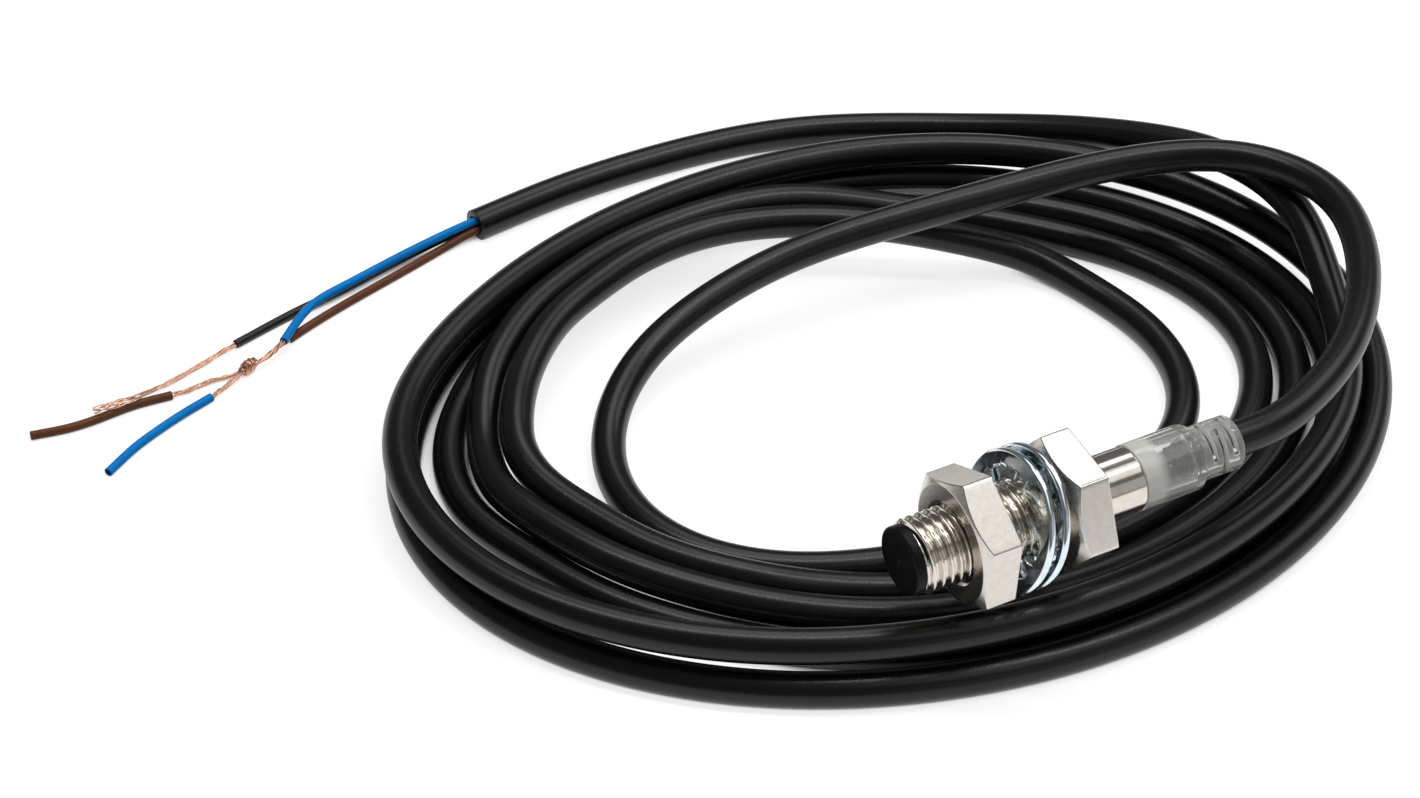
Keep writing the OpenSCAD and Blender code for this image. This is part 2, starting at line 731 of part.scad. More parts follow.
module black_core() {
    color(black_plastic) cord(black_core_route, core_d, free_sides, tail_dir, last_dir(black_core_route));
}

// First direction of a slug, which its strands meet squarely
function first_dir(route) = unit(route[1] - route[0]);

module brown_strands() {
    color(copper)
        cord(brown_strand_route, strand_d, free_sides,
             last_dir(brown_core_route), first_dir(brown_slug_route));
}

module blue_strands() {
    color(copper)
        cord(blue_strand_route, strand_d, free_sides,
             last_dir(blue_core_route), first_dir(blue_slug_route));
}

module black_strands() {
    color(copper)
        cord(black_strand_route, strand_d, free_sides,
             last_dir(black_core_route), last_dir(black_strand_route));
}

module brown_slug() {
    color(wire_brown)
        cord(brown_slug_route, core_d, free_sides, first_dir(brown_slug_route), last_dir(brown_slug_route));
}

module blue_slug() {
    color(wire_blue)
        cord(blue_slug_route, core_d, free_sides, first_dir(blue_slug_route), last_dir(blue_slug_route));
}

barrel();
sensing_cap();
ferrite_core();
coil_bobbin();
sensing_winding();
winding_leads();
circuit_board();
sensor_chip();
output_transistor();
protection_diode();
chip_capacitors();
chip_resistors();
indicator_led();
potting_resin();
rear_cap();
cable_end();
brown_lead();
blue_lead();
black_lead();
solder_joints();
front_nut();
rear_nut();
front_washer();
rear_washer();
cable_lead();
cable_coil();
cable_tail();
brown_core();
blue_core();
black_core();
brown_strands();
blue_strands();
black_strands();
brown_slug();
blue_slug();
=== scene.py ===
import math
import bmesh
import bpy
import numpy as np
from mathutils import Matrix, Vector


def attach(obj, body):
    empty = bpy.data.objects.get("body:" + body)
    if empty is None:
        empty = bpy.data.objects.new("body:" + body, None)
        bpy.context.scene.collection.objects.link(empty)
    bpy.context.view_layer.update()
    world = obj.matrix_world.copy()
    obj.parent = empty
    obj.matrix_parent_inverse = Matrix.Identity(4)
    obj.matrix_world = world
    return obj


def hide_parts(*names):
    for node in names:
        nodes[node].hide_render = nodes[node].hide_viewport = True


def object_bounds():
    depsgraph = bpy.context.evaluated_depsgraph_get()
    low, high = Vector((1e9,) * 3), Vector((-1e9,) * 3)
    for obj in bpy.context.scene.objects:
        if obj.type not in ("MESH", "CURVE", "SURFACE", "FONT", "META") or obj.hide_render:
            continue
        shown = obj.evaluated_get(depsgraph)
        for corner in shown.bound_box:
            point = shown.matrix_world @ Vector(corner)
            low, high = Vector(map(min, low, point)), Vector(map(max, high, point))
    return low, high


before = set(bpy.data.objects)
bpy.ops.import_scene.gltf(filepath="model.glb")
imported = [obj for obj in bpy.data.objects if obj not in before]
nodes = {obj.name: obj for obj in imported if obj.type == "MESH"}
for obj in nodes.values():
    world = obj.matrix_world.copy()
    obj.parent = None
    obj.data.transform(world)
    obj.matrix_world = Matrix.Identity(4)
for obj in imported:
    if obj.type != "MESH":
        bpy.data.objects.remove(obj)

# the frame's box, and a ruler: shapes below are worked out in millimetres
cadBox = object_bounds()
mm = 0.001
floorZ = cadBox[0].z / mm
scene = bpy.context.scene
print("frame loaded,", len(nodes), "nodes")

# camera
viewpoint = {
    "azimuth": -27.98,          # turned to the left of the barrel's nose
    "elevation": 39.06,
    "focalPixels": 3247,
    "away": 320,                # from the point below, along the view
    "point": (5.8, 0, 0),
    "seenAt": (950, 543.4),
    "photo": (1420, 798),
    "sensor": 36,
    "clip": (0.01, 20),
}


def placeCamera(v):
    az, el = math.radians(v["azimuth"]), math.radians(v["elevation"])
    right = Vector((math.cos(az), math.sin(az), 0))
    ahead = Vector((-math.sin(az) * math.cos(el), math.cos(az) * math.cos(el), -math.sin(el)))
    up = right.cross(ahead)
    # the point's pixel is this far right of and above the middle of the picture
    across = (v["seenAt"][0] - v["photo"][0] / 2) * v["away"] / v["focalPixels"]
    above = (v["photo"][1] / 2 - v["seenAt"][1]) * v["away"] / v["focalPixels"]
    place = Vector(v["point"]) - ahead * v["away"] - right * across - up * above
    data = bpy.data.cameras.new("photoCamera")
    data.sensor_width = v["sensor"]
    data.lens = v["sensor"] * v["focalPixels"] / v["photo"][0]
    data.clip_start, data.clip_end = v["clip"]
    cam = bpy.data.objects.new("photoCamera", data)
    turn = Matrix((right, up, -ahead)).transposed().to_4x4()
    cam.matrix_world = Matrix.Translation(place * mm) @ turn
    scene.collection.objects.link(cam)
    scene.camera = cam


placeCamera(viewpoint)
print("camera placed")


# shapes
def smooth(t):
    # an S-shaped step: three t squared less two t cubed, held between 0 and 1
    t = np.clip(t, 0, 1)
    return t * t * (3 - 2 * t)


def swell(t, rise, fall):
    # a smooth step up times a smooth step down; each is given as its start and its length
    return smooth((t - rise[0]) / rise[1]) * (1 - smooth((t - fall[0]) / fall[1]))


def unit(v):
    # a vector over its own length
    return v / np.linalg.norm(v, axis=-1, keepdims=True)


def splineThrough(points, step, startDir=None, endDir=None):
    # cubic pieces in chord length that meet with equal slope and bend; ends keep the given directions
    p = np.asarray(points, float)
    h = np.linalg.norm(np.diff(p, axis=0), axis=1)
    t = np.concatenate([[0], np.cumsum(h)])
    slope = np.diff(p, axis=0) / h[:, None]
    n = len(p)
    a = np.zeros((n, n))
    b = np.zeros((n, 3))
    i = np.arange(1, n - 1)
    a[i, i - 1], a[i, i], a[i, i + 1] = h[:-1], 2 * (h[:-1] + h[1:]), h[1:]
    b[i] = 6 * np.diff(slope, axis=0)
    d0 = slope[0] if startDir is None else unit(np.asarray(startDir, float))
    d1 = slope[-1] if endDir is None else unit(np.asarray(endDir, float))
    a[0, 0], a[0, 1], b[0] = 2 * h[0], h[0], 6 * (slope[0] - d0)
    a[-1, -1], a[-1, -2], b[-1] = 2 * h[-1], h[-1], 6 * (d1 - slope[-1])
    bend = np.linalg.solve(a, b)
    sampleStep = 0.1
    x = np.linspace(0, t[-1], int(t[-1] / sampleStep) + 2)
    k = np.clip(np.searchsorted(t, x, side="right") - 1, 0, n - 2)
    u, v, w = (x - t[k])[:, None], (t[k + 1] - x)[:, None], h[k][:, None]
    dense = (
        (bend[k] * v ** 3 + bend[k + 1] * u ** 3) / (6 * w)
        + (p[k] / w - bend[k] * w / 6) * v
        + (p[k + 1] / w - bend[k + 1] * w / 6) * u
    )
    return evenSteps(dense, step)


def evenSteps(points, step):
    # the same line with points the same distance apart
    s = np.concatenate([[0], np.cumsum(np.linalg.norm(np.diff(points, axis=0), axis=1))])
    want = np.linspace(0, s[-1], max(3, int(round(s[-1] / step)) + 1))
    return np.stack([np.interp(want, s, points[:, c]) for c in range(3)], axis=1)


def carried(path):
    # at each point: the way along, the level way to the side, and the way up square to both
    along = unit(np.gradient(path, axis=0))
    side = unit(np.cross(along, [0, 0, 1]))
    return along, side, np.cross(side, along)


def roundAngles(count):
    # equal shares of a full turn
    return np.arange(count) * 2 * np.pi / count


def spokes(angles, side, up):
    # directions round a path: the cosine to the side plus the sine upward
    return np.cos(angles)[:, None] * side[..., None, :] + np.sin(angles)[:, None] * up[..., None, :]


def tubeGrid(path, radius, sides):
    # rings square to the path, each starting at its underside
    _, side, up = carried(path)
    return path[:, None] + radius * spokes(roundAngles(sides) - np.pi / 2, side, up)


def turned(stations, radii, angles):
    # a profile of stations along X and radii, turned round the X axis; radii may also vary with the angle
    x = np.broadcast_to(stations, (len(angles), len(stations))).T if np.ndim(stations) == 1 else stations
    r = np.broadcast_to(radii, (len(angles), len(radii))).T if np.ndim(radii) == 1 else radii
    return np.stack([x, r * np.cos(angles), r * np.sin(angles)], axis=-1)


def roundedLoop(loop, radius, steps=4):
    # each corner of a closed profile becomes a short curve from one side to the other, which takes less than
    # half of each side; loop is corners by columns by (station, radius)
    mostCurve, mostLead, flatLead = 0.45, 0.47, 0.05
    sides = np.roll(loop, 1, axis=0) - loop, np.roll(loop, -1, axis=0) - loop
    size = np.broadcast_to(np.asarray(radius, float), len(loop))[:, None, None]

    def alongSide(way, reach, most):
        length = np.linalg.norm(way, axis=-1, keepdims=True)
        return loop + way / length * np.minimum(reach, most * length)

    first, last = (alongSide(way, size, mostCurve) for way in sides)
    # one more point on each side, so that the flats beyond shade flat
    wayIn, wayOut = (alongSide(way, size + flatLead, mostLead) for way in sides)
    t = np.linspace(0, 1, steps + 1)[None, :, None, None]
    curve = (1 - t) ** 2 * first[:, None] + 2 * t * (1 - t) * loop[:, None] + t * t * last[:, None]
    curve = np.concatenate([wayIn[:, None], curve, wayOut[:, None]], axis=1)
    return curve.reshape(-1, *loop.shape[1:])


def meshPiece(name, grids, closedRows=False, sharpDeg=40):
    # grids of rows by columns; the columns close round, and the rows close too or end in flat caps
    points, quads, caps, start = [], [], [], 0
    for g in grids:
        rows, cols = g.shape[:2]
        ids = start + np.arange(rows * cols).reshape(rows, cols)
        nextRow = np.roll(ids, -1, axis=0) if closedRows else ids[1:]
        thisRow = ids if closedRows else ids[:-1]
        quads.append(np.stack([
            thisRow, np.roll(thisRow, -1, axis=1), np.roll(nextRow, -1, axis=1), nextRow
        ], axis=-1).reshape(-1, 4))
        if not closedRows:
            caps += [ids[0][::-1].tolist(), ids[-1].tolist()]
        points.append(g.reshape(-1, 3))
        start += rows * cols
    mesh = bpy.data.meshes.new(name)
    mesh.from_pydata(np.concatenate(points) * mm, [], np.concatenate(quads).tolist() + caps)
    bm = bmesh.new()
    bm.from_mesh(mesh)
    if bm.calc_volume(signed=True) < 0:
        bmesh.ops.reverse_faces(bm, faces=bm.faces)
    bm.to_mesh(mesh)
    bm.free()
    mesh.polygons.foreach_set("use_smooth", np.ones(len(mesh.polygons), bool))
    mesh.set_sharp_from_angle(angle=math.radians(sharpDeg))
    piece = bpy.data.objects.new(name, mesh)
    scene.collection.objects.link(piece)
    return piece


def pieceName(node):
    # front_nut becomes frontNut
    first, *others = node.split("_")
    return first + "".join(word.capitalize() for word in others)


def belongs(piece, body, slot, *stoodFor):
    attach(piece, body)
    if stoodFor:
        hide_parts(*stoodFor)
    return piece


# the cable: one jacket from inside the strain relief to its cut end
cable = {
    "diameter": 3.8,
    "lieHeight": 1.52,          # middle of a loop that lies on the floor
    "loopPitch": 4.45,
    "halfWide": 41, "halfDeep": 28,
    "middle": (20, 35.5),
    "turnDeg": -7, "backBulge": 3.2, "squeeze": 1, "ride": 2.9, "squeezeDeg": 205,
    # places along the coil, counted in loops; a rise or fall is its start and its length
    "loopsOut": 3.5, "loopsAll": 4.45, "turnBack": 0.25, "climbLoops": 0.5,
    "joinLoops": 0.24, "overLoops": (0.62, 0.96), "pointsPerLoop": 24,
    "tuckIn": 0.34, "tuckDown": 0.3, "tuckRise": (3.68, 0.19), "tuckFall": (3.86, 0.13),
    "drawIn": (2.2, 3.12), "drawRise": (-0.03, 0.08), "drawFall": (0.08, 0.15),
    "jacketStart": 32.6, "exit": 39.3, "insidePoints": 7,
    "sides": 28, "step": 1.0, "endStep": 0.001,
    "wall": 0.72, "mouthDepth": 5, "mouthRing": 1.5, "lipStand": 0.05, "lipRound": 0.06, "lipLift": 0.02,
}
low = cable["lieHeight"]
leadPoints = [
    [50, 2, 15.5], [59, 7, 15.4], [67, 14.5, 15.2], [73, 23.5, 15], [75.5, 33.5, 14.6], [71, 43.5, 14],
    [62, 49, 13.2], [52, 52, 12.2], [41, 54, 11.2], [30.5, 56, 10], [20, 57.5, 8.4], [9.5, 57, 6.4],
    [-0.5, 54, 4], [-8, 47.5, 2.2], [-12, 38, low], [-11, 28, low], [-4.5, 19.5, low], [5, 14.5, low],
    [15.5, 12, low], [26, 11.5, low], [36.5, 13, low], [46, 17.5, low], [51.5, 24.5, low], [53.5, 34, low],
    [52, 43.5, low], [48.5, 51, 2.4], [42, 56, 4.2], [34, 60.8, 5.8], [24.8, 65.8, 6.3], [14, 68.8, 6.2],
    [4.4, 67.75, 5.9], [-1.2, 65.7, 5.7], [-6.6, 62.9, 5.7], [-11.4, 58.9, 5.7], [-15.2, 54.6, 5.5],
    [-18.2, 49.9, 5.3], [-20, 45.6, 4.9], [-20.3, 41, 4.4], [-19.1, 36.1, 4], [-17.3, 31.5, 3.8],
    [-15.3, 26.9, 3.7], [-12, 21.5, 3.7], [-7.8, 17, 3.5], [-2.2, 13.4, 2.6],
]
# at the back left the first loop climbs over the second
overPoints = [
    [49, 59.2, 1.9], [38.4, 66.3, 3.3], [28, 71.2, 5], [17.8, 72.9, 5.4], [11.1, 72.8, 5.3],
    [4.6, 71.85, 5.2], [-2.3, 69.45, 5.15], [-8.1, 66.6, 5.1], [-13.6, 62.3, 5], [-17.9, 57.6, 4.55],
]
tailPoints = [
    [72.5, 27.5, 7.5], [74.5, 35, 9.6], [74.8, 43, 10.1], [73, 51.5, 9.3], [69, 60, 7.5], [63, 69, 5],
    [55.5, 77, 2.8], [46.5, 83.5, 1.8], [36.5, 88, low], [26, 90, low], [15.5, 90.5, low], [5, 90, low],
    [-5.5, 88.5, low],
]


def overFloor(points):
    # points whose heights are counted from the floor
    return np.asarray(points, float) + [0, 0, floorZ]


def coilPoints(c, u):
    # oval loops that grow by a pitch each turn, round over at loopsOut and come back one layer higher
    x = np.abs(u - c["loopsOut"])
    out = c["loopsOut"] - np.where(x < c["turnBack"], (x * x / c["turnBack"] + c["turnBack"]) / 2, x)
    climb = smooth((u - c["loopsOut"]) / c["climbLoops"] + 0.5)
    # the upper layer lies a little further in along the back left
    tuck = swell(u, c["tuckRise"], c["tuckFall"])
    out = out - c["tuckIn"] * tuck
    a, turn = np.pi * (1 + 2 * u), math.radians(c["turnDeg"])
    # at the left end the first three loops draw together, and the second rides up over the other two
    left = np.maximum(0, np.cos(a - math.radians(c["squeezeDeg"]))) ** 2
    wider = c["loopPitch"] * out + c["squeeze"] * left * np.where(out < 2, 1 - out, smooth(out - 2) - 1)
    # along the front left the first two loops lie closer to the lead, by drawIn's millimetres
    for loop, inward in enumerate(c["drawIn"], 1):
        wider = wider - inward * swell(u - loop, c["drawRise"], c["drawFall"])
    ride = c["ride"] * left * np.maximum(0, 1 - (out - 1) ** 2) ** 2 * (1 - climb)
    px = (c["halfWide"] + wider) * np.cos(a)
    bulge = c["backBulge"] * np.maximum(0, np.sin(a)) ** 2 * (1 - climb)
    py = (c["halfDeep"] + wider) * np.sin(a) + bulge
    return np.stack([
        c["middle"][0] + px * math.cos(turn) - py * math.sin(turn),
        c["middle"][1] + px * math.sin(turn) + py * math.cos(turn),
        floorZ + c["lieHeight"] + c["loopPitch"] * climb - c["tuckDown"] * tuck + ride,
    ], axis=-1)


def cablePath(c):
    # straight inside the strain relief, then one smooth line through the lead, the loops and the tail
    before, after = c["overLoops"]
    apart = 1 / c["pointsPerLoop"]
    first = coilPoints(c, np.arange(c["joinLoops"], before, apart))
    others = coilPoints(c, np.arange(after, c["loopsAll"], apart))
    # the last loop leads straight on for one diameter, into the tail
    nearEnd, end = coilPoints(c, np.array([c["loopsAll"] - c["endStep"], c["loopsAll"]]))
    coilEnd = end + c["diameter"] * unit(end - nearEnd)
    out = [[c["exit"], 0, 0], [c["exit"] + c["diameter"], 0, 0]]
    route = np.concatenate([
        out, overFloor(leadPoints), first, overFloor(overPoints), others, [end, coilEnd],
        overFloor(tailPoints),
    ])
    free = splineThrough(route, c["step"], startDir=[1, 0, 0])
    inside = np.linspace(c["jacketStart"], c["exit"], c["insidePoints"], endpoint=False)
    return np.concatenate([inside[:, None] * [1, 0, 0], free])


def buildCable(c):
    # a circle of the cable's radius carried along its path
    path = cablePath(c)
    radius = c["diameter"] / 2
    outer = tubeGrid(path, radius, c["sides"])
    outer[..., 2] = np.maximum(outer[..., 2], floorZ)   # the underside settles flat on the floor
    # the cut end: a rounded edge, a flat ring, and the mouth that the cores come out of
    endDir = unit(path[-1] - path[-2])
    reach = np.array([c["lipStand"], c["lipStand"], -c["mouthRing"], -c["mouthDepth"]])
    mouth = path[-1] + endDir * reach[:, None]
    bore = radius - c["wall"]
    _, side, up = carried(path)
    ring = spokes(roundAngles(c["sides"]) - np.pi / 2, side[-1], up[-1])
    lip = mouth[:, None] + np.array([radius - c["lipRound"], bore, bore, bore])[:, None, None] * ring
    lip[..., 2] = np.maximum(lip[..., 2], floorZ + c["lipLift"])
    jacket = meshPiece("cableJacket", [np.concatenate([outer, lip])])
    belongs(jacket, "sensor", "cable_jacket", "cable_end", "cable_lead", "cable_coil", "cable_tail")
    return jacket, path[-1], endDir


cableJacket, cutEnd, cutDir = buildCable(cable)
print("cable laid")

# the three cores out of the cut end, their bare strands, and the two cut-off sleeves
core = {
    "diameter": 1, "ring": 0.635, "inside": 4, "insidePoints": 10, "sides": 20, "step": 0.4,
    "bore": 0.36, "boreDepth": 1.2, "boreEase": 0.03, "lipStand": 0.05, "lipRound": 0.08,
    "wireDiameter": 0.14, "wireSides": 6, "wires": 9, "wireStep": 0.25, "spread": 0.19,
    "uneven": 0.5, "loosen": 0.35, "fanRise": (0.55, 0.35),
}
coreRoutes = {
    # degrees round the cut end, then points over the floor
    "blue": (90, [[-13.5, 87.3, 1.8], [-18.6, 86.2, 1.6], [-24.4, 84.6, 1.6], [-28, 83.4, 1.6],
                  [-31, 81.3, 1.6], [-34.1, 78.3, 1.6]]),
    "brown": (210, [[-9.5, 87.4, 0.7], [-14.1, 86.1, 0.5], [-23.1, 83.3, 0.5], [-31, 80.5, 0.5],
                    [-32.9, 79.7, 0.5]]),
    "black": (330, [[-13.2, 88.1, 0.7], [-18.4, 87, 0.5], [-24.1, 85.4, 0.5], [-29, 84.4, 0.5],
                    [-38.7, 81.7, 0.5]]),
}
sleeveRoutes = {
    "brown": [[-48.4, 76.4, 0.5], [-52.5, 76.7, 0.5], [-57.3, 76.3, 0.5], [-60.5, 76.3, 0.5],
              [-64.6, 77, 0.5]],
    "blue": [[-44.6, 74, 0.5], [-48.2, 72.8, 0.5], [-51.9, 71.3, 0.5], [-55, 69.8, 0.5],
             [-59.2, 67.1, 0.5]],
}
strandRoutes = {
    "brown": [[-32.9, 79.7, 0.5], [-34.6, 78.6, 0.8], [-35.7, 77.8, 1.05], [-36.9, 77.2, 0.95],
              [-38.1, 76.9, 0.85], [-39.1, 76.75, 0.8], [-41, 76.6, 0.45], [-43.6, 76.9, 0.35],
              [-46.1, 76.5, 0.4], [-48.4, 76.4, 0.5]],
    "blue": [[-34.1, 78.3, 1.6], [-35.5, 77.6, 1.25], [-36.9, 77, 1.05], [-38.1, 76.8, 0.95],
             [-39.1, 76.7, 0.9], [-40.6, 75.9, 0.75], [-42.2, 75.1, 0.6], [-44.6, 74, 0.5]],
    "black": [[-38.7, 81.7, 0.5], [-40.8, 81.1, 0.4], [-44.4, 79.9, 0.32], [-47.7, 78.9, 0.35],
              [-50.4, 77.8, 0.75], [-53, 76.9, 1.3], [-55.2, 76.8, 1.35], [-57.3, 76.9, 1.3]],
}
# turns, seed, fan at the far end
strandTwist = {"brown": (3, 3, 0), "blue": (2.5, 5, 0), "black": (2, 8, 1.3)}


def sleeveGrid(c, path):
    # a tube whose two ends turn in: rounded lip, flat ring, then the bore going back by its depth
    along, side, up = carried(path)
    radius, bore = c["diameter"] / 2, c["bore"]
    ring = spokes(roundAngles(c["sides"]), side, up)
    r = np.array([radius - c["lipRound"], bore + c["boreEase"], bore])[:, None, None]
    back = np.array([-c["lipStand"], -c["lipStand"], c["boreDepth"]])[:, None, None]
    startRows = (path[0] + back * along[0] + r * ring[0])[::-1]
    endRows = path[-1] - back * along[-1] + r * ring[-1]
    return np.concatenate([startRows, path[:, None] + radius * ring, endRows])


def strandGrids(c, path, turns, seed, fan):
    # fine wires round the path: each circles it at its own distance, a little unevenly, as many turns as
    # given; towards the end they fan out to the sides
    rng = np.random.default_rng(seed)
    _, side, up = carried(path)
    s = np.linspace(0, 1, len(path))
    radius = c["wireDiameter"] / 2
    wide = 1 + fan * smooth((s - c["fanRise"][0]) / c["fanRise"][1])
    # eight draws for each wire, of which the first three are used
    wander = rng.uniform(-1, 1, (c["wires"], 8))[:, :3]
    grids = []
    for k, (sway, pace, start) in enumerate(wander):
        a = 2 * np.pi * (k / c["wires"] + turns * s) + c["uneven"] * np.sin(2 * np.pi * (2 * s + sway))
        loose = c["spread"] * (1 + c["loosen"] * np.sin(2 * np.pi * (3 * s * pace + start)))
        wire = path + loose[:, None] * ((wide * np.cos(a))[:, None] * side + np.sin(a)[:, None] * up)
        wire[:, 2] = np.maximum(wire[:, 2], floorZ + radius)
        grids.append(tubeGrid(wire, radius, c["wireSides"]))
    return grids


def buildCores(c):
    # each core starts on a small ring round the middle of the cut end and follows its own points
    side = unit(np.cross(cutDir, [0, 0, 1]))
    rows = {}
    for colour, (deg, route) in coreRoutes.items():
        a = math.radians(deg)
        start = cutEnd + c["ring"] * (math.cos(a) * side + math.sin(a) * np.array([0, 0, 1]))
        free = splineThrough(np.concatenate([[start], overFloor(route)]), c["step"], startDir=cutDir)
        behind = np.linspace(c["inside"], c["step"], c["insidePoints"])
        path = np.concatenate([start - cutDir * behind[:, None], free])
        insulation = meshPiece(colour + "Core", [sleeveGrid(c, path)])
        belongs(insulation, "sensor", "wire_" + colour, colour + "_core")
        bare = splineThrough(overFloor(strandRoutes[colour]), c["wireStep"])
        strands = meshPiece(colour + "Strands", strandGrids(c, bare, *strandTwist[colour]))
        belongs(strands, "sensor", "copper", colour + "_strands")
        on = [strands]
        if colour in sleeveRoutes:
            line = splineThrough(overFloor(sleeveRoutes[colour]), c["step"])
            sleeve = meshPiece(colour + "Sleeve", [sleeveGrid(c, line)])
            belongs(sleeve, "sensor", "wire_" + colour, colour + "_slug")
            on.append(sleeve)
        rows[colour] = {"insulation": insulation, "path": path, "on": on, "start": start}
    return rows


cores = buildCores(core)

knot = {
    "middle": (-39.1, 76.75, 0.88), "axis": (-0.86, -0.47, -0.05), "long": 2.3, "points": 140,
    "radius": 0.58, "endShare": 0.35, "fullness": 0.7, "winds": 4.5,
    "wireDiameter": 0.22, "wires": 5, "wireSides": 6, "bundle": 0.15, "wireTurns": 3,
}


def buildKnot(k):
    # strands wound round the pair: a spiral whose radius swells in the middle and whose ends tuck in
    t = np.linspace(0, 1, k["points"])
    axis = unit(np.array(k["axis"]))
    level = unit(np.cross(axis, [0, 0, 1]))
    r = k["radius"] * (k["endShare"] + (1 - k["endShare"]) * np.sin(np.pi * t) ** k["fullness"])
    out = spokes(2 * np.pi * k["winds"] * t, level, np.cross(level, axis))
    line = overFloor(k["middle"]) + ((t - 0.5) * k["long"])[:, None] * axis + r[:, None] * out
    across = np.cross(unit(np.gradient(line, axis=0)), out)
    grids = []
    for i in range(k["wires"]):
        # each wire circles the spiral in its turn
        b = (2 * np.pi * (i / k["wires"] + k["wireTurns"] * t))[:, None]
        aside = np.cos(b) * out + np.sin(b) * across
        wire = line + k["bundle"] * aside
        n = unit(aside)
        m = np.cross(unit(np.gradient(wire, axis=0)), n)
        grids.append(wire[:, None] + k["wireDiameter"] / 2 * spokes(roundAngles(k["wireSides"]), n, m))
    return belongs(meshPiece("strandKnot", grids), "sensor", "copper")


strandKnot = buildKnot(knot)
cores["brown"]["on"].append(strandKnot)
print("cores, strands and sleeves made")

# the barrel: a helical thread cut into the front, a smooth collar behind
barrel = {
    "front": 1.1, "threadEnd": 20.7, "end": 26.9,
    "majorRadius": 4, "depth": 0.6, "pitch": 1, "firstCrest": 1.35,
    "crestFlat": 0.14, "rootFlat": 0.24, "flankRound": 0.25, "chamfer": 0.4,
    "collarRadius": 3.45, "boreRadius": 3, "edge": 0.12, "edgeSink": 0.035,
    "columns": 112, "rowStep": 0.05, "flatLead": 0.1,
}


def buildBarrel(b):
    angles = roundAngles(b["columns"])
    x = np.arange(b["front"], b["threadEnd"] + b["rowStep"] / 2, b["rowStep"])[:, None]
    # the thread: distance from the nearest crest along the helix, in pitches, sets how deep the flank is
    phase = (x - b["firstCrest"]) / b["pitch"] - angles[None] / (2 * np.pi)
    fromCrest = 2 * np.abs(phase - np.round(phase))
    down = np.clip((fromCrest - b["crestFlat"]) / (1 - b["crestFlat"] - b["rootFlat"]), 0, 1)
    radius = b["majorRadius"] - b["depth"] * (down + b["flankRound"] * (smooth(down) - down))
    # both ends are turned down to a cone, so the thread runs out
    radius = np.minimum(radius, b["majorRadius"] - b["chamfer"] + (x - b["front"]))
    radius = np.minimum(radius, np.maximum(b["collarRadius"], b["collarRadius"] + b["threadEnd"] - x))
    # the collar, its rounded rear edge and the bore, back to the front
    collar, lead = b["collarRadius"], b["flatLead"]
    plain = np.array([
        [b["threadEnd"] + lead, collar], [b["threadEnd"] + 2 * lead, collar],
        [b["end"] - b["edge"] - lead, collar], [b["end"] - b["edge"], collar],
        [b["end"] - b["edgeSink"], collar - b["edgeSink"]], [b["end"], collar - b["edge"]],
        [b["end"], b["boreRadius"]], [b["front"], b["boreRadius"]],
    ])
    plain = np.repeat(plain[:, None], b["columns"], axis=1)
    stations = np.concatenate([np.broadcast_to(x, radius.shape), plain[..., 0]])
    radius = np.concatenate([radius, plain[..., 1]])
    piece = meshPiece("threadedBarrel", [turned(stations, radius, angles)], closedRows=True, sharpDeg=50)
    return belongs(piece, "sensor", "nickel", "barrel")


threadedBarrel = buildBarrel(barrel)
print("barrel threaded")

# the sensing cap: a turned cup with a small moulding mark in the middle of its face
cap = {
    "stand": 1.1, "radius": 3.6, "bevel": 0.22, "faceThick": 0.6,
    "skirtRadius": 2.98, "skirtEnd": 5, "skirtBore": 2.6,
    "dimpleRadius": 0.28, "dimpleDepth": 0.09, "dimpleStart": 0.04, "dimpleRings": 9,
    "faceRings": (0.5, 1.2, 2.2), "flatLead": 0.05, "bevelSteps": 5, "axisHole": 0.01, "columns": 96,
}


def buildCap(c):
    # the face dips by a raised cosine inside the dimple's radius; the rest is a plain turned profile
    flatEnd = c["radius"] - c["bevel"]
    dimple = np.linspace(c["dimpleStart"], c["dimpleRadius"], c["dimpleRings"])
    r = np.concatenate([[c["axisHole"]], dimple, c["faceRings"], [flatEnd - c["flatLead"]]])
    bowl = (1 + np.cos(np.pi * r / c["dimpleRadius"])) / 2
    dip = np.where(r < c["dimpleRadius"], bowl, 0) * c["dimpleDepth"]
    edge = np.linspace(0, np.pi / 2, c["bevelSteps"] + 1)
    behind = np.array([
        [c["stand"], c["radius"]], [c["stand"], c["skirtRadius"]], [c["skirtEnd"], c["skirtRadius"]],
        [c["skirtEnd"], c["skirtBore"]], [c["faceThick"], c["skirtBore"]], [c["faceThick"], c["axisHole"]],
    ])
    x = np.concatenate([dip, c["bevel"] * (1 - np.cos(edge)), behind[:, 0]])
    radii = np.concatenate([r, flatEnd + c["bevel"] * np.sin(edge), behind[:, 1]])
    piece = meshPiece("sensingCap", [turned(x, radii, roundAngles(c["columns"]))])
    return belongs(piece, "sensor", "black_plastic", "sensing_cap")


sensingCap = buildCap(cap)

# the nuts: a hexagon whose front corners are turned off by a cone
nut = {
    "acrossFlats": 13, "height": 4, "faceRadius": 6.175, "chamferDeg": 30,
    "boreRadius": 4.05, "boreChamfer": 0.4, "cornerSharpness": 110,
    "edge": 0.09, "boreEdge": 0.04, "columnsPerSide": 26,
    # station of the front face, degrees turned
    "places": {"front_nut": (5.805, 34), "rear_nut": (16.9, 7.5)},
}


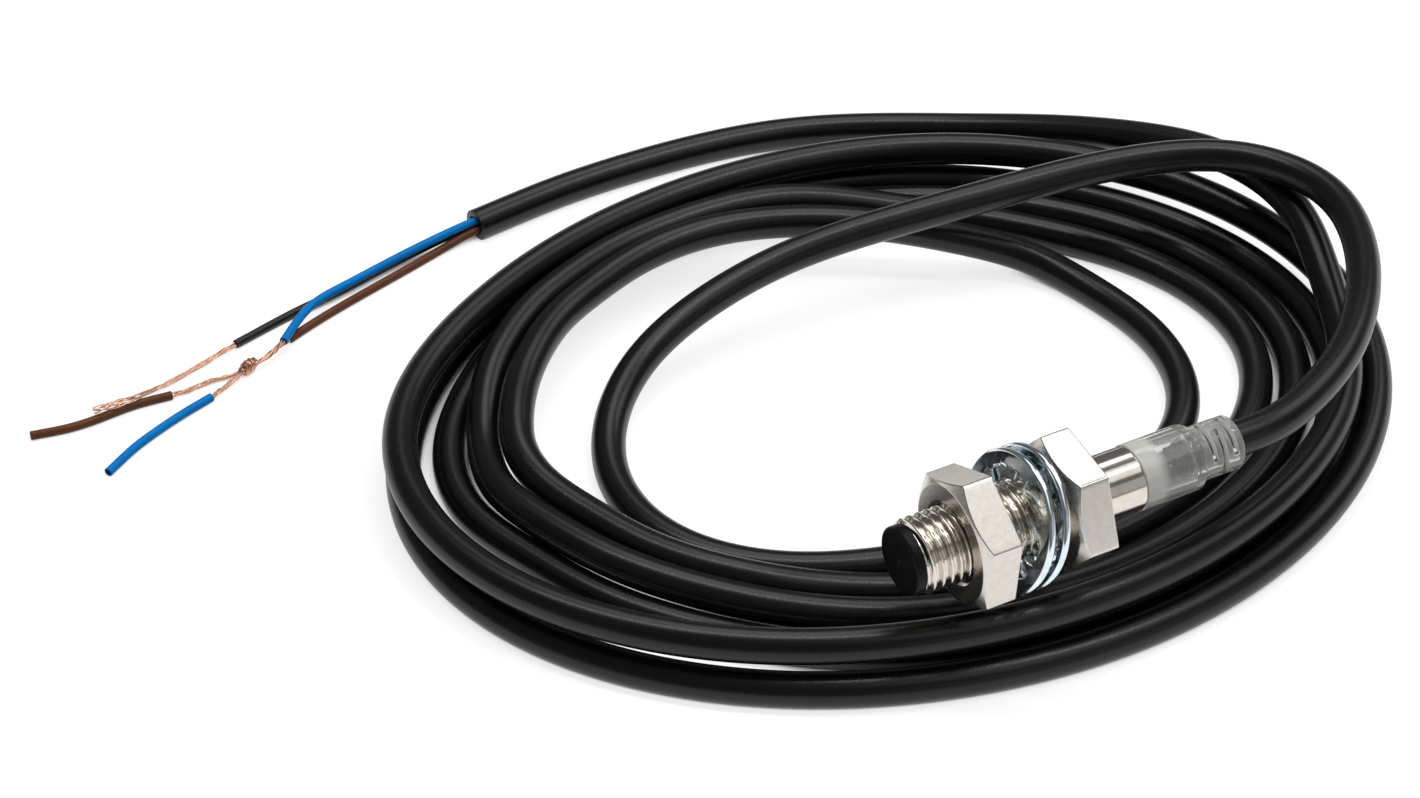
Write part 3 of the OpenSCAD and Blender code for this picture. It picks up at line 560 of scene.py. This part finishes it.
def buildNut(n, node):
    x0, turnDeg = n["places"][node]
    # columns crowd towards the corners: the angle from a side's middle goes as a sine
    half = np.pi / 6 * np.sin(np.linspace(-np.pi / 2, np.pi / 2, n["columnsPerSide"] + 1)[:-1])
    angles = (np.arange(6)[:, None] * np.pi / 3 + np.pi / 6 + half[None]).ravel()
    # distance to the hexagon: half the flats over a soft maximum of the cosines to its six sides
    toSides = np.cos(angles[:, None] - (np.arange(6) + 0.5)[None] * np.pi / 3)
    p = n["cornerSharpness"]
    hexR = n["acrossFlats"] / 2 / (np.clip(toSides, 0, 1) ** p).sum(1) ** (1 / p)
    cone = (hexR - n["faceRadius"]) * math.tan(math.radians(n["chamferDeg"]))
    flat = np.ones_like(angles)
    mouth = n["boreRadius"] + n["boreChamfer"]
    h = n["height"]
    corners = [
        (0 * flat, mouth * flat), (0 * flat, n["faceRadius"] * flat), (cone, hexR), (h * flat, hexR),
        (h * flat, mouth * flat), ((h - n["boreChamfer"]) * flat, n["boreRadius"] * flat),
        (n["boreChamfer"] * flat, n["boreRadius"] * flat),
    ]
    loop = np.stack([np.stack(c, axis=-1) for c in corners])
    loop = roundedLoop(loop, [n["edge"]] * 5 + [n["boreEdge"]] * 2)
    grid = turned(x0 + loop[..., 0], loop[..., 1], angles + math.radians(turnDeg))
    piece = meshPiece(pieceName(node), [grid], closedRows=True, sharpDeg=35)
    return belongs(piece, node, "nickel", node)


frontNut, rearNut = buildNut(nut, "front_nut"), buildNut(nut, "rear_nut")
print("nuts made")

# the lock washers: a flat rim with twisted inner teeth
washer = {
    "outerRadius": 7.5, "rootRadius": 5.6, "tipRadius": 4.425, "thick": 0.8,
    "teeth": 8, "toothHalfDeg": 10.6, "sideDeg": 1.3, "twistDeg": 18, "tiltDeg": 15,
    "leanOut": 0.35, "leanFade": 0.6,       # a tooth's lean fades out past the root circle
    "edge": 0.32, "edgeSteps": 4, "columnsPerTooth": 44, "crowding": 0.55, "crowdDeg": 5, "rows": 12,
    "places": {"front_washer": 12.5025, "rear_washer": 14.2025},
}


def buildWasher(w, node):
    pitch = 2 * np.pi / w["teeth"]
    local = np.linspace(-pitch / 2, pitch / 2, w["columnsPerTooth"], endpoint=False)
    halfTooth, sideWidth = math.radians(w["toothHalfDeg"]), math.radians(w["sideDeg"])
    # columns crowd at the teeth's sides
    off = np.abs(local) - halfTooth
    local = local - w["crowding"] * np.sign(local) * off * np.exp(-(off / math.radians(w["crowdDeg"])) ** 2)
    angles = ((np.arange(w["teeth"]) + 0.5)[:, None] * pitch + local[None]).ravel()
    fromTooth = np.tile(local, w["teeth"])
    # the inner edge steps from the tip circle on a tooth to the root circle in a gap
    gap = smooth((np.abs(fromTooth) - halfTooth) / sideWidth + 0.5)
    inner = w["tipRadius"] + (w["rootRadius"] - w["tipRadius"]) * gap
    half, edge = w["thick"] / 2, w["edge"]
    t = np.linspace(0, 1, w["rows"])[:, None]
    flat = np.ones((w["rows"], len(angles)))
    bend = np.linspace(0, np.pi / 2, w["edgeSteps"] + 1)[:, None]
    # one closed profile: upper side outward, round outer edge, lower side inward, round inner edge
    upIn, upOut = inner + edge, w["outerRadius"] - edge
    span = upIn + (upOut - upIn) * t
    ro = upOut + edge * np.sin(bend) + 0 * inner
    zo = half - edge + edge * np.cos(bend) + 0 * inner
    ri = upIn - edge * np.sin(bend)
    r = np.concatenate([span, ro, ro[::-1], span[::-1], ri, ri[::-1]])
    z = np.concatenate([half * flat, zo, -zo[::-1], -half * flat, -zo, zo[::-1]])
    # each tooth leans: height grows with the distance beside its middle line, faded out at the rim
    fade = smooth((w["rootRadius"] + w["leanOut"] - r) / w["leanFade"])
    lean = math.tan(math.radians(w["twistDeg"])) * fade
    z = z + r * np.sin(fromTooth) * lean
    tilt = math.radians(90 + w["tiltDeg"])
    ex, ez = np.array([math.cos(tilt), 0, -math.sin(tilt)]), np.array([math.sin(tilt), 0, math.cos(tilt)])
    grid = (
        np.array([w["places"][node], 0, 0])
        + (r * np.cos(angles))[..., None] * ex
        + (r * np.sin(angles))[..., None] * np.array([0, 1, 0])
        + z[..., None] * ez
    )
    return belongs(meshPiece(pieceName(node), [grid], closedRows=True), node, "zinc", node)


frontWasher, rearWasher = buildWasher(washer, "front_washer"), buildWasher(washer, "rear_washer")
print("washers made")

# the clear rear cap with its slotted strain relief
rearCap = {
    "spigotStart": 24.4, "spigotRadius": 2.98, "start": 26.9, "radius": 3.55, "shoulder": 34.3,
    "shoulderRound": 0.6, "reliefRadius": 2.9, "reliefRound": 0.4, "end": 39.3,
    "boreRadius": 1.92, "cavityRadius": 2.55, "cavityEnd": 33.2,
    # up to resinEnd the wall reaches into the resin, as if cast on
    "resinEnd": 28.9, "resinBore": 2.5, "resinStep": 0.02,
    "edge": 0.06, "flatLead": 0.08, "roundSteps": 6, "columns": 192,
    "slotWide": 0.56, "slotPitch": 1.25, "slotFloor": 2.15, "slotRise": 1.7, "slotLeast": 0.03,
    "cosineLeast": 0.05,
    # degrees round from +Y, up over the top; each has a twin opposite
    "slotMiddles": (110, 150, 110),
    # rows across half a slot: how far past its edge and what share of its depth
    "slotEdge": (-0.1, -0.05, -0.01, 0.015), "slotDrop": (0, 0.02, 0.1, 1),
    "slotWalls": (1, 2, 5, 6), "slotBed": (3, 4),
}


def quarterRound(x, radius, size, steps):
    # from a cylinder of this radius round to its end face at x
    q = np.linspace(0, np.pi / 2, steps + 1)
    return np.stack([x - size + size * np.sin(q), radius - size + size * np.cos(q)], axis=-1)


def buildRearCap(c):
    angles = roundAngles(c["columns"])
    relief, edge, shoulder = c["reliefRadius"], c["edge"], c["shoulder"]
    # rows of one slot: over its rounded edge, down the wall, along the floor and up again
    half = c["slotWide"] / 2 - np.array(c["slotEdge"])
    across = np.concatenate([-half, [0], half[::-1]])
    drop = np.concatenate([c["slotDrop"], [1], c["slotDrop"][::-1]])[:, None]
    middles = (shoulder + c["end"]) / 2 + np.array([-1, 0, 1]) * c["slotPitch"]
    slots = (middles[:, None] + across).ravel()
    # stations and radii: forward end and shoulder, the slots, the rear end, then back along the inside
    front = np.concatenate([
        [[c["spigotStart"], c["resinBore"]], [c["spigotStart"], c["spigotRadius"]],
         [c["start"], c["spigotRadius"]], [c["start"], c["radius"] - edge], [c["start"] + edge, c["radius"]],
         [c["start"] + edge + c["flatLead"], c["radius"]],
         [shoulder - c["shoulderRound"] - edge, c["radius"]]],
        quarterRound(shoulder, c["radius"], c["shoulderRound"], c["roundSteps"]),
        [[shoulder, relief], [shoulder + c["flatLead"], relief]],
    ])
    rear = np.concatenate([
        [[c["end"] - c["reliefRound"] - edge, relief]],
        quarterRound(c["end"], relief, c["reliefRound"], c["roundSteps"]),
    ])
    inside = [
        [c["end"], c["boreRadius"]], [c["cavityEnd"], c["boreRadius"]], [c["cavityEnd"], c["cavityRadius"]],
        [c["resinEnd"], c["cavityRadius"]], [c["resinEnd"] - c["resinStep"], c["resinBore"]],
    ]
    profile = np.concatenate([front, np.stack([slots, np.full(len(slots), relief)], axis=-1), rear, inside])
    x, r = np.moveaxis(np.repeat(profile[:, None], c["columns"], axis=1), -1, 0)
    # each face's finish: 0 the cap's own, 1 frosted slot walls, 2 glassy slot beds, bore and cavity
    faceFinish = np.zeros(r.shape, np.int32)
    faceFinish[-len(inside):-2] = 2
    # a slot is a flat cut at slotRise from the axis that stops at slotFloor, so it thins out at its ends
    for k, deg in enumerate(c["slotMiddles"]):
        cosine = np.maximum(np.abs(np.cos(angles - math.radians(deg))), c["cosineLeast"])
        deep = np.maximum(relief - np.maximum(c["slotFloor"], c["slotRise"] / cosine), 0)
        first = len(front) + k * len(across)
        r[first:first + len(across)] -= drop * deep
        faceFinish[first + np.array(c["slotWalls"])] = deep > c["slotLeast"]
        faceFinish[first + np.array(c["slotBed"])] = 2 * (deep > c["slotLeast"])
    piece = meshPiece("clearRearCap", [turned(x, r, angles)], closedRows=True, sharpDeg=50)
    return belongs(piece, "sensor", "clear_plastic", "rear_cap"), faceFinish.ravel()


clearRearCap, capFaceFinish = buildRearCap(rearCap)
print("rear cap made")


# finishes
surface = {
    "noiseRough": 0.55, "patchDetail": 4, "grainDetail": 3, "refraction": 1.5,
    "toneStops": (0.35, 0.65),      # the noise at which the one colour ends and the other is full
}


def newFinish(name):
    mat = bpy.data.materials.new(name)
    mat.use_nodes = True
    tree = mat.node_tree
    return mat, tree, tree.nodes["Principled BSDF"]


def noiseOf(tree, scale, detail, stretch=None):
    # noise on the piece's own coordinates, stretched along the axes where asked
    place = tree.nodes.new("ShaderNodeTexCoord")
    noise = tree.nodes.new("ShaderNodeTexNoise")
    noise.inputs["Scale"].default_value = scale
    noise.inputs["Detail"].default_value = detail
    noise.inputs["Roughness"].default_value = surface["noiseRough"]
    if stretch:
        mapping = tree.nodes.new("ShaderNodeMapping")
        mapping.inputs["Scale"].default_value = stretch
        tree.links.new(place.outputs["Object"], mapping.inputs["Vector"])
        tree.links.new(mapping.outputs["Vector"], noise.inputs["Vector"])
    else:
        tree.links.new(place.outputs["Object"], noise.inputs["Vector"])
    return noise.outputs["Fac"]


def spread(tree, fac, toLow, toHigh, fromLow=0.3, fromHigh=0.7):
    # a straight map from one range to another; most of the noise lies within the range given here
    node = tree.nodes.new("ShaderNodeMapRange")
    node.inputs["From Min"].default_value, node.inputs["From Max"].default_value = fromLow, fromHigh
    node.inputs["To Min"].default_value, node.inputs["To Max"].default_value = toLow, toHigh
    tree.links.new(fac, node.inputs["Value"])
    return node.outputs["Result"]


def twoTone(tree, fac, colourA, colourB):
    # one colour fades into the other over the middle values of the noise
    ramp = tree.nodes.new("ShaderNodeValToRGB")
    for stop, place, colour in zip(ramp.color_ramp.elements, surface["toneStops"], (colourA, colourB)):
        stop.position, stop.color = place, (*colour, 1)
    tree.links.new(fac, ramp.inputs["Fac"])
    return ramp.outputs["Color"]


def grained(tree, height, depth):
    # the noise as a fine relief of this depth
    node = tree.nodes.new("ShaderNodeBump")
    node.inputs["Distance"].default_value = depth
    node.inputs["Strength"].default_value = 1
    tree.links.new(height, node.inputs["Height"])
    return node.outputs["Normal"]


def clearAlong(tree, pairs):
    # how clear a piece is along X, from pairs of station and clearness
    place, parts = tree.nodes.new("ShaderNodeTexCoord"), tree.nodes.new("ShaderNodeSeparateXYZ")
    tree.links.new(place.outputs["Object"], parts.inputs["Vector"])
    first, last = pairs[0][0], pairs[-1][0]
    ramp = tree.nodes.new("ShaderNodeValToRGB")
    for x, clear in pairs[1:-1]:
        ramp.color_ramp.elements.new((x - first) / (last - first)).color = (clear, clear, clear, 1)
    for i in (0, -1):
        ramp.color_ramp.elements[i].color = (*[pairs[i][1]] * 3, 1)
    tree.links.new(spread(tree, parts.outputs["X"], 0, 1, first, last), ramp.inputs["Fac"])
    return ramp.outputs["Color"]


def plainFinish(name, f):
    # colour and roughness drift with two sizes of noise, and a fine grain lifts the surface
    mat, tree, bsdf = newFinish(name)
    bsdf.inputs["Metallic"].default_value = f.get("metal", 0)
    bsdf.inputs["IOR"].default_value = surface["refraction"]
    bsdf.inputs["Specular IOR Level"].default_value = f.get("specular", 0.5)
    broad = noiseOf(tree, f["patch"], surface["patchDetail"])
    fine = noiseOf(tree, f["grain"], surface["grainDetail"], f.get("stretch"))
    tree.links.new(twoTone(tree, broad, f["colour"], f["shade"]), bsdf.inputs["Base Color"])
    tree.links.new(spread(tree, fine, *f["rough"]), bsdf.inputs["Roughness"])
    tree.links.new(grained(tree, fine, f["depth"]), bsdf.inputs["Normal"])
    bsdf.inputs["Transmission Weight"].default_value = f.get("transmit", 0)
    if "milky" in f:
        tree.links.new(clearAlong(tree, f["milky"]), bsdf.inputs["Transmission Weight"])
    return mat


insulationLook = {"rough": (0.3, 0.42), "patch": 400, "grain": 7000, "depth": 2e-6}
# patch and grain are scales of noise, and depth is the grain's in metres;
# milky pairs stations in metres with clearness
finishes = {
    "nickelSatin": {
        "colour": (0.66, 0.62, 0.57), "shade": (0.71, 0.675, 0.625), "metal": 1, "rough": (0.2, 0.3),
        "patch": 1400, "grain": 14000, "depth": 5e-7,
    },
    "nickelTurned": {
        "colour": (0.68, 0.63, 0.56), "shade": (0.75, 0.71, 0.65), "metal": 1, "rough": (0.1, 0.18),
        "patch": 600, "grain": 9000, "depth": 8e-7, "stretch": (4, 0.2, 0.2),
    },
    "zincBright": {
        "colour": (0.68, 0.77, 0.83), "shade": (0.8, 0.87, 0.91), "metal": 1, "rough": (0.06, 0.14),
        "patch": 900, "grain": 2500, "depth": 3e-6,
    },
    "capPlastic": {
        "colour": (0.0035, 0.0035, 0.004), "shade": (0.006, 0.006, 0.0065), "rough": (0.34, 0.46),
        "patch": 900, "grain": 12000, "depth": 2e-6, "specular": 0.14,
    },
    "jacketBlack": {
        "colour": (0.0028, 0.0028, 0.003), "shade": (0.005, 0.005, 0.0054), "rough": (0.26, 0.34),
        "patch": 160, "grain": 5000, "depth": 2e-6, "specular": 0.38,
    },
    "coreBlue": {
        **insulationLook, "colour": (0.0003, 0.23, 0.72), "shade": (0.0005, 0.27, 0.8), "specular": 0.11,
    },
    # the blue lead inside the cap: a darker copy of the core's blue, as painted shade
    "leadBluePaintedShade": {
        **insulationLook, "colour": (0.01, 0.03, 0.07), "shade": (0.014, 0.04, 0.09), "specular": 0.35,
    },
    "coreBrown": {
        **insulationLook, "colour": (0.15, 0.05, 0.02), "shade": (0.18, 0.066, 0.03), "specular": 0.18,
    },
    "coreBlack": {
        **insulationLook, "colour": (0.008, 0.008, 0.009), "shade": (0.014, 0.014, 0.015), "specular": 0.35,
    },
    "copperBare": {
        "colour": (0.62, 0.35, 0.235), "shade": (0.7, 0.44, 0.33), "metal": 1, "rough": (0.36, 0.5),
        "patch": 900, "grain": 9000, "depth": 2e-6,
    },
    "ferriteGrey": {
        "colour": (0.03, 0.03, 0.032), "shade": (0.05, 0.05, 0.052), "rough": (0.5, 0.7),
        "patch": 900, "grain": 9000, "depth": 1e-5,
    },
    "bobbinIvory": {
        "colour": (0.7, 0.66, 0.52), "shade": (0.76, 0.72, 0.6), "rough": (0.4, 0.55),
        "patch": 700, "grain": 8000, "depth": 4e-6,
    },
    "boardGreen": {
        "colour": (0.008, 0.035, 0.035), "shade": (0.012, 0.05, 0.045), "rough": (0.25, 0.4),
        "patch": 1500, "grain": 9000, "depth": 5e-6,
    },
    # the brown lead inside the cap: a darker copy of the core's brown, as painted shade
    "leadBrownPaintedShade": {
        **insulationLook, "colour": (0.045, 0.03, 0.025), "shade": (0.06, 0.04, 0.033), "specular": 0.35,
    },
    "chipBlack": {
        "colour": (0.012, 0.012, 0.013), "shade": (0.02, 0.02, 0.021), "rough": (0.45, 0.6),
        "patch": 900, "grain": 9000, "depth": 5e-6,
    },
    "ceramicTan": {
        "colour": (0.4, 0.28, 0.16), "shade": (0.46, 0.34, 0.21), "rough": (0.4, 0.55),
        "patch": 900, "grain": 9000, "depth": 4e-6,
    },
    "lampAmber": {
        "colour": (0.85, 0.5, 0.08), "shade": (0.9, 0.56, 0.12), "rough": (0.12, 0.2),
        "patch": 900, "grain": 6000, "depth": 2e-6, "transmit": 0.6,
    },
    "resinCream": {
        "colour": (0.8, 0.79, 0.69), "shade": (0.86, 0.85, 0.77), "rough": (0.3, 0.45),
        "patch": 700, "grain": 5000, "depth": 6e-6,
    },
    "clearCap": {
        "colour": (0.92, 0.915, 0.85), "shade": (0.96, 0.955, 0.9), "rough": (0.05, 0.11),
        "patch": 400, "grain": 4000, "depth": 4e-7, "transmit": 0.8,
        "milky": ((0.0288, 0.3), (0.0298, 0.78), (0.0342, 0.78), (0.0346, 0.69), (0.0393, 0.69)),
    },
    "slotOpen": {
        "colour": (0.9, 0.9, 0.9), "shade": (0.96, 0.96, 0.96), "rough": (0.04, 0.1),
        "patch": 700, "grain": 5000, "depth": 4e-7, "transmit": 1,
    },
    "slotFrost": {
        "colour": (0.92, 0.92, 0.91), "shade": (0.97, 0.97, 0.96), "rough": (0.4, 0.55),
        "patch": 700, "grain": 5000, "depth": 4e-6,
    },
    "solderBright": {
        "colour": (0.6, 0.6, 0.62), "shade": (0.68, 0.68, 0.7), "metal": 1, "rough": (0.2, 0.35),
        "patch": 900, "grain": 6000, "depth": 6e-6,
    },
}
materials = {name: plainFinish(name, f) for name, f in finishes.items()}


def wear(piece, *names):
    piece.data.materials.clear()
    for name in names:
        piece.data.materials.append(materials[name])


for piece, finish in (
    (cableJacket, "jacketBlack"), (threadedBarrel, "nickelTurned"), (sensingCap, "capPlastic"),
    (frontNut, "nickelSatin"), (rearNut, "nickelSatin"),
    (frontWasher, "zincBright"), (rearWasher, "zincBright"),
):
    wear(piece, finish)
wear(clearRearCap, "clearCap", "slotFrost", "slotOpen")
clearRearCap.data.polygons.foreach_set("material_index", capFaceFinish)
for colour, row in cores.items():
    wear(row["insulation"], "core" + colour.capitalize())
    for piece in row["on"]:
        wear(piece, "core" + colour.capitalize() if piece.name.endswith("Sleeve") else "copperBare")
for node, finish in {
    "ferrite_core": "ferriteGrey", "coil_bobbin": "bobbinIvory", "sensing_winding": "copperBare",
    "winding_leads": "copperBare", "circuit_board": "boardGreen", "sensor_chip": "chipBlack",
    "output_transistor": "chipBlack", "protection_diode": "chipBlack", "chip_capacitors": "ceramicTan",
    "chip_resistors": "chipBlack", "indicator_led": "lampAmber", "potting_resin": "resinCream",
    # the blue and brown leads inside the cap wear darker copies of their cores' colours, as painted shade
    "brown_lead": "leadBrownPaintedShade", "blue_lead": "leadBluePaintedShade", "black_lead": "coreBlack",
    "solder_joints": "solderBright",
}.items():
    wear(nodes[node], finish)
print("finishes worn")

# floor and light
studio = {
    "floorSize": 4, "floorColour": (0.45, 0.45, 0.45), "floorRough": 0.9, "floorGlow": 0.77,
    # painted shade: ambient occlusion dims the floor's glow in the seams between the loops
    "seamShadeReach": 0.005, "seamShadeSamples": 16,
    "seamShadeOpen": (0.12, 0.32),       # open share of the sky where the glow starts and is full
    "sky": 0.14,
    # name: place, what it points at, size, power
    "lamps": {
        "overheadSoft": ((0.28, 0.44, 0.77), (0.02, 0.02, 0), (0.4, 0.46), 1.35),
        "overheadStrip": ((0.08, 0.1, 0.8), (0.02, 0.03, 0), (0.9, 0.09), 2.6),
        "overFront": ((0.32, -0.32, 0.75), (0.02, 0, 0), (0.8, 0.45), 1.0),
        "frontCard": ((0.35, -0.85, 0.3), (0.02, 0, 0), (1.1, 0.5), 0.56),
        "rightSoft": ((0.74, 0.14, 0.6), (0.04, 0.02, 0), (0.45, 0.35), 0.95),
    },
}


def combined(tree, operation, first, second):
    node = tree.nodes.new("ShaderNodeMath")
    node.operation = operation
    tree.links.new(first, node.inputs[0])
    tree.links.new(second, node.inputs[1])
    return node.outputs[0]


def buildFloor(s):
    half = s["floorSize"] / 2
    corners = [(x * half, y * half, floorZ * mm) for x, y in ((-1, -1), (1, -1), (1, 1), (-1, 1))]
    mesh = bpy.data.meshes.new("floor")
    mesh.from_pydata(corners, [], [(0, 1, 2, 3)])
    floor = bpy.data.objects.new("floor", mesh)
    scene.collection.objects.link(floor)
    mat, tree, bsdf = newFinish("floorWhite")
    bsdf.inputs["Base Color"].default_value = (*s["floorColour"], 1)
    bsdf.inputs["Roughness"].default_value = s["floorRough"]
    bsdf.inputs["Specular IOR Level"].default_value = 0
    # the floor glows where it is looked at, straight, through the clear cap or in a reflection
    rays = tree.nodes.new("ShaderNodeLightPath").outputs
    seen = combined(tree, "MAXIMUM", rays["Is Camera Ray"], rays["Is Transmission Ray"])
    seen = combined(tree, "MAXIMUM", seen, rays["Is Glossy Ray"])
    # the glow dies out where the floor sees little open space, which paints shade into the seams between the
    # cable's loops
    seamShadeOcclusion = tree.nodes.new("ShaderNodeAmbientOcclusion")
    seamShadeOcclusion.samples = s["seamShadeSamples"]
    seamShadeOcclusion.inputs["Distance"].default_value = s["seamShadeReach"]
    glow = spread(tree, seamShadeOcclusion.outputs["AO"], 0, s["floorGlow"], *s["seamShadeOpen"])
    bsdf.inputs["Emission Color"].default_value = (1, 1, 1, 1)
    tree.links.new(combined(tree, "MULTIPLY", seen, glow), bsdf.inputs["Emission Strength"])
    floor.data.materials.append(mat)


def buildLight(s):
    # each lamp is a rectangle turned to face its aim
    for name, (place, aim, size, power) in s["lamps"].items():
        data = bpy.data.lights.new(name, "AREA")
        data.shape, data.size, data.size_y, data.energy = "RECTANGLE", *size, power
        lamp = bpy.data.objects.new(name, data)
        lamp.location = place
        lamp.rotation_mode = "QUATERNION"
        lamp.rotation_quaternion = (Vector(aim) - Vector(place)).to_track_quat("-Z", "Y")
        scene.collection.objects.link(lamp)
    world = bpy.data.worlds.new("studioSky")
    world.use_nodes = True
    background = world.node_tree.nodes["Background"]
    background.inputs["Color"].default_value = (1, 1, 1, 1)
    background.inputs["Strength"].default_value = s["sky"]
    scene.world = world


buildFloor(studio)
buildLight(studio)
scene.view_settings.view_transform = "Standard"
print("studio lit")
